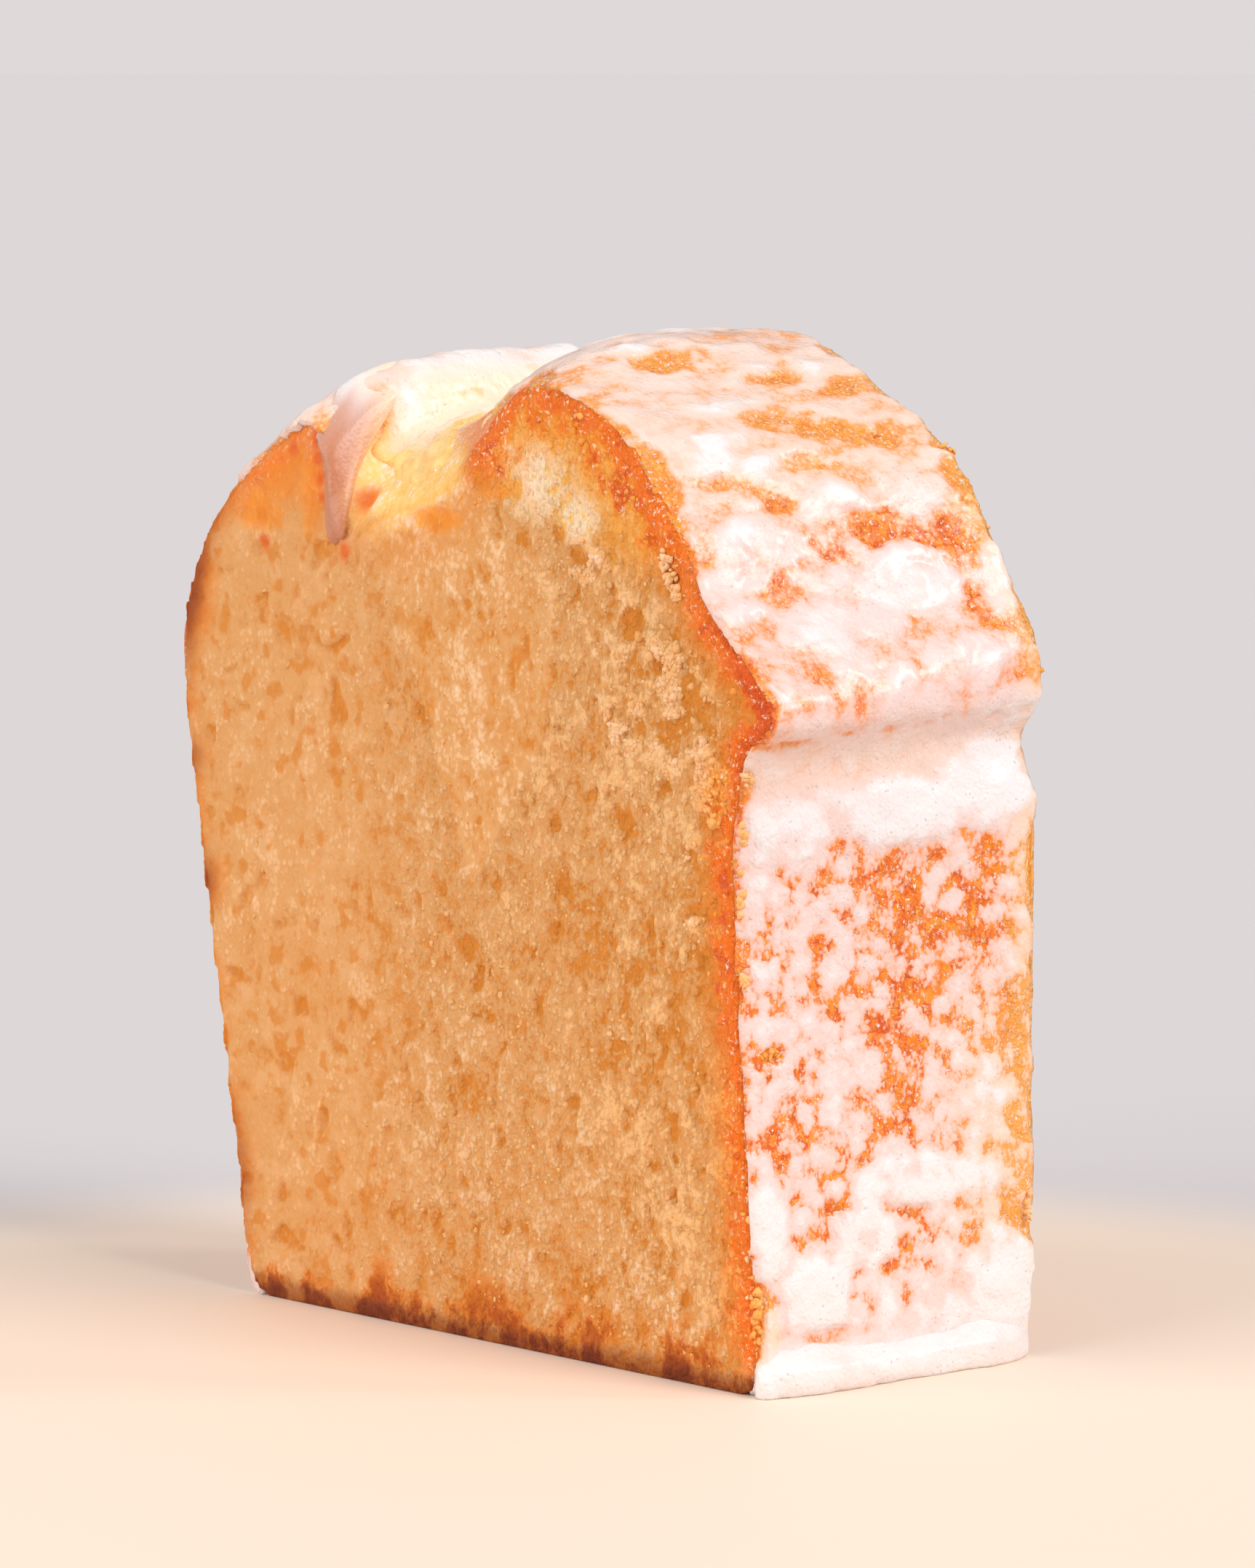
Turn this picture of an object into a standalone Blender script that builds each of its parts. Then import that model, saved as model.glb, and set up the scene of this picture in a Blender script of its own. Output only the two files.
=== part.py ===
"""Thick slice of iced pound cake, cut across a loaf baked in a flared tin.

Metres, +Z up. +X runs across the loaf, the cut face that shows looks along -Y, and the
origin is under the middle of the whole part's bounding box.
"""

from math import cos, pi, radians, sin, sqrt

import bmesh
import bpy
from mathutils import Vector

MM = 0.001

# Driving dimensions, in millimetres.
THICKNESS = 38.4          # of the slice, along the loaf
BASE_HALF = 40.2          # half the width of the flat underside
GAP = 0.3                 # between the cake and icing that lies against it
STATIONS = 20             # sections along the slice
ARC_STEPS = 5             # points that the curve adds between two outline points

FOOT_HEIGHT = 4.9         # icing that ran down and set along the foot
FOOT_REACH = 2.5
FOOT_INSET = 0.8          # from each cut face
FOOT_STATIONS = 16
FOOT_STEPS = 3
FOOT_SAG = 0.16           # taller by this share at the ends, lower by it midway
FOOT_LUMPS = 0.14         # uneven reach
FOOT_LUMP_RATE = 7.3
FOOT_END_SHARE = 0.5      # of its size that is left at its blunt ends
FOOT_END_POWER = 8
HIDDEN_FOOT_HEIGHT = 3.2
HIDDEN_FOOT_REACH = 1.5
HIDDEN_FOOT_INSET = 4.5

DRIP_WIDTH = 5.4          # run of icing in the crack, at the front cut face
DRIP_THICK = 1.1
DRIP_EDGE = 0.3
DRIP_GAP = 0.35
DRIP_OVER_CREST = 0.5     # how far it starts past the ridge's crest, in outline points
DRIP_SPANS = 2.25         # how far it runs, in outline points
DRIP_SIDE_SHARE = 0.55    # of that run at the drip's sides
DRIP_STEPS = 14
DRIP_STATIONS = 9

NEARBY = 0.05             # of a span, for a curve's direction

# Outline points as (x, z) on the front cut face and (x, z) on the back one.
# The near side rises from the foot to the tin's rim, where the batter spilled over as a lip.
NEAR_SIDE = [
    ((BASE_HALF, 0.0), (BASE_HALF, 0.0)),
    ((42.0, 2.2), (42.6, 2.2)),
    ((41.2, 17.0), (43.3, 17.0)),
    ((39.2, 38.0), (43.4, 38.0)),
    ((38.2, 56.0), (43.8, 57.0)),
    ((40.2, 66.0), (41.2, 66.0)),
    ((44.2, 70.0), (44.6, 72.0)),
    ((41.0, 74.8), (43.6, 77.0)),
    ((34.6, 81.0), (40.4, 81.5)),
    ((30.6, 87.0), (37.0, 87.5)),
    ((26.0, 92.6), (33.4, 93.5)),
    ((20.8, 98.4), (27.0, 98.5)),
    ((13.0, 102.4), (18.5, 103.2)),
]
# The crack splits the dome into a near lobe and a far ridge.
CRACK = [
    ((4.4, 102.6), (8.0, 107.4)),
    ((-1.6, 97.8), (-1.0, 107.4)),
    ((-6.8, 92.6), (-8.0, 105.0)),
    ((-13.6, 89.8), (-15.0, 101.0)),
    ((-20.4, 87.8), (-21.6, 98.0)),
    ((-25.4, 85.8), (-25.8, 99.0)),
    ((-28.2, 94.2), (-28.4, 102.8)),
    ((-31.6, 97.6), (-31.6, 104.6)),
]
FAR_SIDE = [
    ((-38.4, 94.8), (-38.8, 101.2)),
    ((-45.4, 89.8), (-46.0, 93.2)),
    ((-51.0, 83.4), (-51.6, 85.0)),
    ((-54.2, 75.2), (-54.6, 76.2)),
    ((-54.0, 65.6), (-54.2, 66.2)),
    ((-51.6, 51.0), (-51.8, 51.4)),
    ((-48.6, 34.0), (-48.8, 34.2)),
    ((-45.2, 15.0), (-45.4, 15.0)),
    ((-42.8, 2.6), (-43.0, 2.6)),
    ((-BASE_HALF, 0.0), (-BASE_HALF, 0.0)),
]
CRACK_RISE = 4.5          # how fast the crack's outline leaves its front shape
FAR_RISE = 3.0

# Cross-section of the icing at the foot, as fractions of its reach and height.
FOOT_SECTION = [(0.0, 0.0), (0.72, 0.0), (1.0, 0.28), (0.92, 0.62), (0.55, 0.92), (0.0, 1.0)]


def curve_point(points, place):
    """Return the Catmull-Rom curve through 2D points at a place counted in spans."""
    last = len(points) - 1
    index = min(int(place), last - 1)
    t = place - index
    before = Vector(points[max(index - 1, 0)])
    start = Vector(points[index])
    end = Vector(points[index + 1])
    after = Vector(points[min(index + 2, last)])
    return 0.5 * (2.0 * start + (end - before) * t
                  + (2.0 * before - 5.0 * start + 4.0 * end - after) * t * t
                  + (3.0 * start - before - 3.0 * end + after) * t ** 3)


def curve_through(points, steps):
    """Return the curve through 2D points, with steps points in each span."""
    count = (len(points) - 1) * steps
    return [curve_point(points, index / steps) for index in range(count + 1)]


def blend(rows, share):
    """Return each row's point, share of the way from the front face to the back face."""
    return [Vector(front).lerp(Vector(back), share) for front, back in rows]


def outline_rows(along):
    """Return the outline's own points, along 0 at the front face to 1 at the back face."""
    crack_share = 1.0 - (1.0 - along) ** CRACK_RISE
    far_share = 1.0 - (1.0 - along) ** FAR_RISE
    return blend(NEAR_SIDE, along) + blend(CRACK, crack_share) + blend(FAR_SIDE, far_share)


def cake_section(along):
    """Return the cake's closed outline at one place along the slice, in metres."""
    y = (along - 0.5) * THICKNESS
    curve = curve_through(outline_rows(along), ARC_STEPS)
    return [Vector((point.x, y, point.y)) * MM for point in curve]


def foot_section(along, side, height, reach, inset):
    """Return the foot icing's closed section; side is 1 for the near side, -1 for the far one."""
    y = (along - 0.5) * (THICKNESS - 2.0 * inset)
    wall = NEAR_SIDE[1] if side > 0 else FAR_SIDE[-2]
    inner = abs(blend([wall], y / THICKNESS + 0.5)[0].x) + GAP
    full = sqrt(1.0 - (2.0 * along - 1.0) ** FOOT_END_POWER)
    sag = 1.0 + FOOT_SAG * cos(2.0 * pi * along)
    lumps = 1.0 + FOOT_LUMPS * sin(FOOT_LUMP_RATE * along)
    tall = height * sag * (FOOT_END_SHARE + (1.0 - FOOT_END_SHARE) * full)
    deep = reach * lumps * (FOOT_END_SHARE + (1.0 - FOOT_END_SHARE) * full)
    shape = curve_through(FOOT_SECTION, FOOT_STEPS)
    return [Vector((side * (inner + point.x * deep), y, max(point.y, 0.0) * tall)) * MM
            for point in shape]


def drip_section(along):
    """Return the drip's closed section: a band on the crack's far wall, thickest midway."""
    y = -THICKNESS / 2.0 + GAP + along * DRIP_WIDTH
    rows = outline_rows(y / THICKNESS + 0.5)
    swell = sqrt(1.0 - (2.0 * along - 1.0) ** 2)
    top = len(NEAR_SIDE) + len(CRACK) - 1 + DRIP_OVER_CREST
    length = DRIP_SPANS * (DRIP_SIDE_SHARE + (1.0 - DRIP_SIDE_SHARE) * swell)
    inner, outer = [], []
    for step in range(DRIP_STEPS + 1):
        share = step / DRIP_STEPS
        place = top - length * share
        point = curve_point(rows, place)
        tangent = curve_point(rows, place + NEARBY) - curve_point(rows, place - NEARBY)
        normal = Vector((tangent.y, -tangent.x)).normalized()
        thick = DRIP_EDGE + DRIP_THICK * swell * sin(pi * (share + 0.5) / 2.0)
        inner.append(point + normal * DRIP_GAP)
        outer.append(point + normal * (DRIP_GAP + thick))
    return [Vector((point.x, y, point.y)) * MM for point in inner + outer[::-1]]


def loft(name, section, stations):
    """Extrude one closed body through section(along) at even places from 0 to 1."""
    bm = bmesh.new()
    face = bm.faces.new([bm.verts.new(point) for point in section(0.0)])
    inner_faces = []
    for station in range(1, stations):
        made = bmesh.ops.extrude_face_region(bm, geom=[face])
        face = next(item for item in made["geom"] if isinstance(item, bmesh.types.BMFace))
        for vert, point in zip(face.verts, section(station / (stations - 1))):
            vert.co = point
        inner_faces.append(face)
    bmesh.ops.delete(bm, geom=inner_faces[:-1], context="FACES_ONLY")
    bmesh.ops.recalc_face_normals(bm, faces=bm.faces)
    mesh = bpy.data.meshes.new(name)
    bm.to_mesh(mesh)
    bm.free()
    mesh.shade_smooth()
    mesh.set_sharp_from_angle(angle=radians(50.0))
    return mesh


def material(name, colour, roughness):
    """Return a plain surface of one colour."""
    made = bpy.data.materials.new(name)
    made.use_nodes = True
    shader = made.node_tree.nodes["Principled BSDF"]
    shader.inputs["Base Color"].default_value = (*colour, 1.0)
    shader.inputs["Roughness"].default_value = roughness
    shader.inputs["Metallic"].default_value = 0.0
    made.diffuse_color = (*colour, 1.0)
    return made


def place(name, mesh, surface, frame):
    """Add one sub-part under the frame."""
    mesh.materials.append(surface)
    made = bpy.data.objects.new(name, mesh)
    made.parent = frame
    bpy.context.scene.collection.objects.link(made)
    return made


def centre_over_origin(frame, pieces):
    """Shift the frame so that the pieces' common box is centred on the origin in X and Y."""
    points = [vert.co for piece in pieces for vert in piece.data.vertices]
    for axis in (0, 1):
        values = [point[axis] for point in points]
        frame.location[axis] = -(min(values) + max(values)) / 2.0


def build():
    for old in list(bpy.data.objects):
        bpy.data.objects.remove(old, do_unlink=True)
    frame = bpy.data.objects.new("slice_frame", None)
    bpy.context.scene.collection.objects.link(frame)
    crumb = material("cake", (0.74, 0.42, 0.17), 0.7)
    icing = material("icing", (0.95, 0.85, 0.78), 0.35)

    def near_foot(along):
        return foot_section(along, 1.0, FOOT_HEIGHT, FOOT_REACH, FOOT_INSET)

    def far_foot(along):
        return foot_section(along, -1.0, HIDDEN_FOOT_HEIGHT, HIDDEN_FOOT_REACH,
                            HIDDEN_FOOT_INSET)

    pieces = [
        place("cake_slice", loft("cake_slice", cake_section, STATIONS), crumb, frame),
        place("icing_foot_near", loft("icing_foot_near", near_foot, FOOT_STATIONS), icing, frame),
        place("icing_foot_far", loft("icing_foot_far", far_foot, FOOT_STATIONS), icing, frame),
        place("icing_drip", loft("icing_drip", drip_section, DRIP_STATIONS), icing, frame),
    ]
    centre_over_origin(frame, pieces)
    bpy.context.view_layer.update()


build()
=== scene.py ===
"""Thick slice of iced pound cake: granular crumb, syrup-soaked crust, glaze and loose crumbs.

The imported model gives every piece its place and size. Lengths named in millimetres are
turned into metres with MM where a mesh is written.
"""

from math import radians
from types import SimpleNamespace

import bmesh
import bpy
import numpy as np
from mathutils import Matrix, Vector
from mathutils.bvhtree import BVHTree


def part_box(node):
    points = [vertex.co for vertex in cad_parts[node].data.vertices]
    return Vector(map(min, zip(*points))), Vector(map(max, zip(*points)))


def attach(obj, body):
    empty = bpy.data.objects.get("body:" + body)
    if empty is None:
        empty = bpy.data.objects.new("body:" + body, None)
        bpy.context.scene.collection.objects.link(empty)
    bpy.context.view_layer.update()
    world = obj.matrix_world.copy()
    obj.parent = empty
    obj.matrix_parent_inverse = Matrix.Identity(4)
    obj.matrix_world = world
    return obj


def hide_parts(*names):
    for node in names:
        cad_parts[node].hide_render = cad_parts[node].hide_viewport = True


bl_info = {
    "name": "Iced Pound Cake Slice",
    "version": (1, 0, 0),
    "blender": (4, 5, 0),
    "location": "View3D > Sidebar > Cake",
    "description": "Builds the crumb, crust, glaze and crumbs of a thick slice of iced cake",
    "category": "Object",
}

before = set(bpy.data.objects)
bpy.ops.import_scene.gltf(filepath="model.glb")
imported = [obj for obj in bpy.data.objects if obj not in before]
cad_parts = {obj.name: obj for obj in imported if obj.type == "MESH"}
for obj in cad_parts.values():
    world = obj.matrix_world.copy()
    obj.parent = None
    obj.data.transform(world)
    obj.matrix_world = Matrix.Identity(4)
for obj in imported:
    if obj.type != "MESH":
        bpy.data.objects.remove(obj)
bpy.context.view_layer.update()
CAKE_LOW, CAKE_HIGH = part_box("cake_slice")

MM = 0.001
FRONT = CAKE_LOW.y / MM
BACK = CAKE_HIGH.y / MM
SEED = 7

# In millimetres.
BEAD_GRID = 0.3           # spacing of the thick icing's mesh
RUN_GRID = 0.28
SKIN_DEPTH = 0.9          # how far the glaze's hidden inner side lies under the crust
SKIN_INSET = 0.4          # from the cut faces to the glaze's edges
GRAIN_RADIUS = 0.28       # of a middling loose crumb, and of the largest
GRAIN_MOST = 0.55
CLUSTER_RADIUS = 0.29     # the same for the crumbs in clusters
CLUSTER_MOST = 0.46

GRAIN_COUNT = 5200
GRAIN_SHAPES = 9

# In metres.
FLOOR_RADIUS = 30.0
FLOOR_MIDDLE = (0.045, -0.039, 0.0)     # of the floor's warm part
FLOOR_FADE = (0.12, 0.17)               # where it turns from warm to grey


def srgb(*values):
    """Return a scene-linear colour from display values out of 255."""
    shares = [value / 255.0 for value in values]
    return tuple(s / 12.92 if s <= 0.04045 else ((s + 0.055) / 1.055) ** 2.4 for s in shares)


# Settings

def number_setting(name, description, default, **kind):
    return bpy.props.FloatProperty(name=name, description=description, default=default, **kind)


def colour_setting(name, description, *values):
    return bpy.props.FloatVectorProperty(
        name=name, description=description, default=srgb(*values), subtype="COLOR",
        size=3, min=0.0, max=1.0)


def millimetre_setting(name, description, default):
    return number_setting(name, description, default * MM, min=0.0, unit="LENGTH", precision=5)


class CrumbSettings(bpy.types.PropertyGroup):
    """Sizes and colours of the baked cake."""
    grid: millimetre_setting("Grid", "Spacing of the cake's surface mesh", 0.79)
    granule: millimetre_setting("Granule", "Width of one granule of crumb", 1.35)
    pit: millimetre_setting("Pit depth", "Depth of the hollows in the crumb", 0.5)
    # The pale, light and deep crumb colours, laid by height, also paint highlight on raised
    # tips and shade in hollows.
    cream: colour_setting("Pale crumb", "Tips of granules and torn crumb", 250, 219, 186)
    light: colour_setting("Light crumb", "Raised parts of the crumb", 240, 193, 142)
    tan: colour_setting("Crumb", "Most of the crumb", 224, 164, 100)
    deep: colour_setting("Deep crumb", "Holes and damp parts of the crumb", 217, 134, 40)
    # The crack crumb's yellow is partly its own colour and partly painted glow of light through
    # the thin crumb.
    yellow: colour_setting("Crack crumb", "Open crumb inside the crack", 255, 213, 130)
    honey: colour_setting("Damp crumb", "Crumb that drank some syrup", 254, 180, 84)
    amber: colour_setting("Soaked crust", "Syrup-soaked crust on the dome", 251, 152, 30)
    syrup: colour_setting("Syrup", "Damp crumb behind the wall's crust", 229, 134, 36)
    orange: colour_setting("Orange crust", "Syrup-soaked crust, outer part", 244, 118, 8)
    red: colour_setting("Dark crust", "Darkest part of the soaked crust", 218, 80, 8)
    stain: colour_setting("Syrup spot", "Spots where syrup gathered", 226, 98, 8)
    brown: colour_setting("Brown crust", "Plain baked crust", 178, 78, 6)
    flake: colour_setting("Flake", "Palest loose crumbs", 254, 238, 216)
    # The singed colour also paints the contact shadow along the underside.
    singed: colour_setting("Singed crust", "Darkest line of the plain crust", 100, 30, 0)


class IcingSettings(bpy.types.PropertyGroup):
    """Sizes and colours of the glaze."""
    grid: millimetre_setting("Grid", "Spacing of the glaze's inner mesh", 0.87)
    film: millimetre_setting("Film", "Thickness of the thin glaze", 0.15)
    thin: colour_setting("Thin glaze", "Glaze that lets the crust through", 244, 166, 120)
    pink: colour_setting("Pink glaze", "Thin, even glaze", 242, 194, 176)
    pale: colour_setting("Pale glaze", "Glaze of middling thickness", 241, 212, 205)
    white: colour_setting("Thick glaze", "Glaze that hides the crust", 241, 233, 232)
    # The damp glaze's colour is partly the syrup-soaked glaze's own and partly painted shade on
    # the run's lower part.
    run: colour_setting("Damp glaze", "Glaze soaked by the crack's syrup", 200, 130, 95)


class StageSettings(bpy.types.PropertyGroup):
    """Camera, light and floor."""
    camera_place: bpy.props.FloatVectorProperty(
        name="Camera place", description="Where the camera stands", subtype="TRANSLATION",
        unit="LENGTH", default=(0.5975, -0.5147, 0.1394))
    camera_turn: number_setting(
        "Camera turn", "Camera's heading from the +Y axis", radians(49.04), subtype="ANGLE")
    camera_dip: number_setting(
        "Camera dip", "How far the camera looks down", radians(5.83), subtype="ANGLE")
    lens: number_setting("Lens", "Focal length for a 36 mm sensor", 166.98, unit="CAMERA")
    key: number_setting("Window light", "Strength of the light on the iced side", 1.65)
    fill: number_setting("Fill light", "Strength of the soft light on the cut face", 1.5)
    glint: number_setting(
        "Glint", "Strength of the small light that makes wet spots sparkle", 0.45)
    sky: number_setting("Sky", "Strength of the even light all round", 0.5)
    floor: colour_setting("Floor", "Floor by the slice", 247, 227, 209)
    wall: colour_setting("Far floor", "Floor far from the slice", 212, 206, 207)
    backdrop: colour_setting("Backdrop", "What is seen above the floor", 223, 217, 217)


# Noise on arrays of points, in millimetres

def ramp(low, high, value):
    """Return a smooth step from 0 at low to 1 at high."""
    share = np.clip((value - low) / (high - low), 0, 1)
    return share * share * (3 - 2 * share)


def hump(value, middle, width):
    """Return a smooth hump that is 1 at the middle."""
    return np.exp(-((value - middle) / width) ** 2)


def share_along(y):
    """Return 0 at the front cut face to 1 at the back one."""
    return (y - FRONT) / (BACK - FRONT)


def hashed(cells, seed):
    """Return a repeatable number from 0 to 1 for each whole-number cell."""
    mixed = (cells[..., 0] * 374761393 + cells[..., 1] * 668265263
             + cells[..., 2] * 1440670441 + seed * 974634777)
    mixed = (mixed ^ (mixed >> 13)) * 1274126177
    mixed = (mixed ^ (mixed >> 16)) * 2246822519
    mixed = mixed ^ (mixed >> 15)
    return (mixed & 0xFFFFFF) / float(0xFFFFFF)


def waves(points, size, seed):
    """Return smooth noise from -1 to 1 whose lumps are about size across."""
    scaled = points / np.asarray(size, float) + 1000.0
    cell = np.floor(scaled).astype(np.int64)
    part = scaled - cell
    part = part * part * part * (part * (part * 6 - 15) + 10)
    total = np.zeros(len(points))
    for corner in np.ndindex(2, 2, 2):
        offset = np.array(corner)
        weight = np.prod(np.where(offset == 1, part, 1 - part), axis=1)
        total += weight * hashed(cell + offset, seed)
    return 2 * total - 1


def sway(points, size, seed):
    """Return waves for each of the three directions."""
    return np.stack([waves(points, size, seed + axis) for axis in (1, 2, 3)], axis=1)


def layers(points, size, octaves, seed):
    """Return waves with finer and weaker waves on top."""
    size = np.asarray(size, float)
    total, reach = np.zeros(len(points)), 0
    for octave in range(octaves):
        strength = 0.5 ** octave
        total += strength * waves(points, size * strength, seed + 17 * octave)
        reach += strength
    return total / reach


def granules(points, size, seed):
    """Return each point's distance to the nearest scattered centre, in sizes, and its mark."""
    scaled = points / np.asarray(size, float) + 1000.0
    cell = np.floor(scaled).astype(np.int64)
    nearest = np.full(len(points), 9.0)
    mark = np.zeros(len(points))
    for step in np.ndindex(3, 3, 3):
        near = cell + np.array(step) - 1
        centre = near + np.stack([hashed(near, seed + axis) for axis in (1, 2, 3)], axis=1)
        distance = np.linalg.norm(scaled - centre, axis=1)
        closer = distance < nearest
        nearest = np.where(closer, distance, nearest)
        mark = np.where(closer, hashed(near, seed + 4), mark)
    return nearest, mark


# Mesh helpers

def linked(name, data):
    """Add an object to the scene."""
    made = bpy.data.objects.new(name, data)
    bpy.context.scene.collection.objects.link(made)
    return made


def merged_copy(node):
    """Return a bmesh of a CAD node with its loose triangles joined."""
    bm = bmesh.new()
    bm.from_mesh(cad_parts[node].data)
    bmesh.ops.remove_doubles(bm, verts=bm.verts, dist=1e-6)
    return bm


def even_mesh(node, grid):
    """Return a bmesh of a CAD node's shape in even squares."""
    bm = merged_copy(node)
    rough = bpy.data.meshes.new("rough")
    bm.to_mesh(rough)
    bm.free()
    holder = linked("holder", rough)
    remesh = holder.modifiers.new("Even", "REMESH")
    remesh.mode = "VOXEL"
    remesh.voxel_size = grid
    evaluated = holder.evaluated_get(bpy.context.evaluated_depsgraph_get())
    even = bmesh.new()
    even.from_mesh(evaluated.to_mesh())
    evaluated.to_mesh_clear()
    bpy.data.objects.remove(holder)
    bpy.data.meshes.remove(rough)
    return even


def settle(bm, rounds):
    """Even out the small steps that the even mesh leaves along slanted edges."""
    for _ in range(rounds):
        bmesh.ops.smooth_vert(bm, verts=bm.verts, factor=0.5, use_axis_x=True,
                              use_axis_y=True, use_axis_z=True)


def halve_edges(bm, faces):
    """Split each of the faces in four."""
    edges = list({edge for face in faces for edge in face.edges})
    bmesh.ops.subdivide_edges(bm, edges=edges, cuts=1, use_grid_fill=True)


def places(bm):
    """Return the bmesh's points in millimetres and its point normals."""
    bm.normal_update()
    bm.verts.ensure_lookup_table()
    points = np.array([vert.co for vert in bm.verts]) / MM
    normals = np.array([vert.normal for vert in bm.verts])
    return points, normals


def set_places(bm, points):
    """Move the bmesh's points, given in millimetres, and keep them on or above the floor."""
    points = points * MM
    points[:, 2] = np.maximum(points[:, 2], 0)
    for vert, point in zip(bm.verts, points):
        vert.co = point


def finish_piece(name, bm, material, attributes, replaced=()):
    """Turn a bmesh into a shaded piece with its fields, riding on the slice's body."""
    mesh = bpy.data.meshes.new(name)
    bm.to_mesh(mesh)
    bm.free()
    mesh.shade_smooth()
    for key, values in attributes.items():
        made = mesh.attributes.new(key, "FLOAT", "POINT")
        made.data.foreach_set("value", np.asarray(values, np.float32))
    mesh.materials.append(material)
    piece = linked(name, mesh)
    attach(piece, "root")
    if replaced:
        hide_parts(*replaced)
    return piece


# Shaders

class Shade:
    """A number or colour that changes over a surface; arithmetic on it makes shader nodes."""

    def __init__(self, tree, socket):
        self.tree, self.socket = tree, socket

    def sum(self, operation, first, second=0):
        return shade(self.tree, "ShaderNodeMath", {0: first, 1: second}, operation=operation)

    def __add__(self, other):
        return self.sum("ADD", self, other)

    def __sub__(self, other):
        return self.sum("SUBTRACT", self, other)

    def __rsub__(self, other):
        return self.sum("SUBTRACT", other, self)

    def __mul__(self, other):
        return self.sum("MULTIPLY", self, other)

    def __truediv__(self, other):
        return self.sum("DIVIDE", self, other)

    def __rtruediv__(self, other):
        return self.sum("DIVIDE", other, self)

    def __abs__(self):
        return self.sum("ABSOLUTE", self)

    def at_least(self, other):
        """Return the larger of the two."""
        return self.sum("MAXIMUM", self, other)

    def ramp(self, low, high, to_low=0, to_high=1):
        """Return a smooth ramp as the shade goes from low to high."""
        inputs = {"Value": self, "From Min": low, "From Max": high,
                  "To Min": to_low, "To Max": to_high}
        return shade(self.tree, "ShaderNodeMapRange", inputs, interpolation_type="SMOOTHSTEP")


def wire(node, values):
    """Wire shades to a node's inputs, and set the inputs that get plain values."""
    for key, value in values.items():
        if isinstance(value, Shade):
            value.tree.links.new(value.socket, node.inputs[key])
        else:
            node.inputs[key].default_value = value


def add_node(tree, kind, inputs, **settings):
    """Add a node, set it up and wire or fill its inputs."""
    made = tree.nodes.new(kind)
    for key, value in settings.items():
        setattr(made, key, value)
    wire(made, inputs)
    return made


def shade(tree, kind, inputs, output=0, **settings):
    """Return one output of a new node."""
    return Shade(tree, add_node(tree, kind, inputs, **settings).outputs[output])


def mix(share, first, second):
    """Return a mix of two colours; a colour is a shade or three numbers."""
    tree = next(item.tree for item in (share, first, second) if isinstance(item, Shade))
    pair = [item if isinstance(item, Shade) else (*item, 1) for item in (first, second)]
    return shade(tree, "ShaderNodeMix", {0: share, 6: pair[0], 7: pair[1]}, 2,
                 data_type="RGBA")


def field(tree, name):
    """Return one of the mesh's own fields."""
    return shade(tree, "ShaderNodeAttribute", {}, "Fac", attribute_name=name)


def coordinates(tree, stretch=(1, 1, 1)):
    """Return Object coordinates in millimetres, stretched by these factors."""
    source = shade(tree, "ShaderNodeTexCoord", {}, "Object")
    return shade(tree, "ShaderNodeMapping",
                 {"Vector": source, "Scale": [factor / MM for factor in stretch]})


def surface(tree, *names):
    """Return where the surface is, in millimetres, and its fields of these names."""
    shades = {name: field(tree, name) for name in names}
    return SimpleNamespace(where=coordinates(tree), **shades)


def cloud(where, size, detail=3, roughness=0.5, distortion=0):
    """Return noise of about the given size in millimetres, from 0 to 1."""
    return shade(where.tree, "ShaderNodeTexNoise",
                 {"Vector": where, "Scale": 1 / size, "Detail": detail,
                  "Roughness": roughness, "Distortion": distortion}, "Fac")


def cells(where, size):
    """Return distances in a cell pattern of about the given size in millimetres."""
    return shade(where.tree, "ShaderNodeTexVoronoi", {"Vector": where, "Scale": 1 / size},
                 "Distance")


def pushed(where, rate, reach):
    """Return coordinates pushed about by noise, by up to reach."""
    tree = where.tree
    swirl = shade(tree, "ShaderNodeTexNoise", {"Vector": where, "Scale": rate, "Detail": 2},
                  "Color")
    push = shade(tree, "ShaderNodeVectorMath", {0: swirl, 1: (reach,) * 3},
                 operation="MULTIPLY")
    return shade(tree, "ShaderNodeVectorMath", {0: where, 1: push}, operation="ADD")


def bump(height, depth):
    """Return a normal from heights of the given depth in millimetres."""
    return shade(height.tree, "ShaderNodeBump",
                 {"Height": height, "Distance": depth * MM, "Strength": 1})


def new_group(name, dial, start, outputs):
    """Return a shader node group, the shade of its one input, and its end."""
    group = bpy.data.node_groups.new(name, "ShaderNodeTree")
    made = group.interface.new_socket(dial, in_out="INPUT", socket_type="NodeSocketFloat")
    made.default_value = start
    for output in outputs:
        group.interface.new_socket(output, in_out="OUTPUT", socket_type="NodeSocketFloat")
    given = group.nodes.new("NodeGroupInput").outputs[dial]
    return group, Shade(group, given), group.nodes.new("NodeGroupOutput")


def granule_group():
    """Crumb: heights of rounded granules of two sizes, and a patchy tone."""
    group, size, result = new_group("Crumb Granules", "Size", 0.8, ("Height", "Tone"))
    where = coordinates(group, (1, 1, 0.8))
    uneven = pushed(where, 0.8, 0.5)
    rate = 1 / size
    coarse = add_node(group, "ShaderNodeTexVoronoi", {"Vector": uneven, "Scale": rate}).outputs
    fine = shade(group, "ShaderNodeTexVoronoi", {"Vector": uneven, "Scale": rate * 1.9},
                 "Distance")
    height = Shade(group, coarse["Distance"]).ramp(0.75, 0.1) * 0.5 + fine.ramp(0.8, 0.1) * 0.3
    height = height + cloud(where, 0.4, 2, 0.6) * 0.3
    marks = shade(group, "ShaderNodeSeparateColor", {0: Shade(group, coarse["Color"])})
    tone = marks * 0.3 + cloud(where, 2.6, 4, 0.62) * 0.7
    wire(result, {"Height": height, "Tone": tone})
    return group


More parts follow.
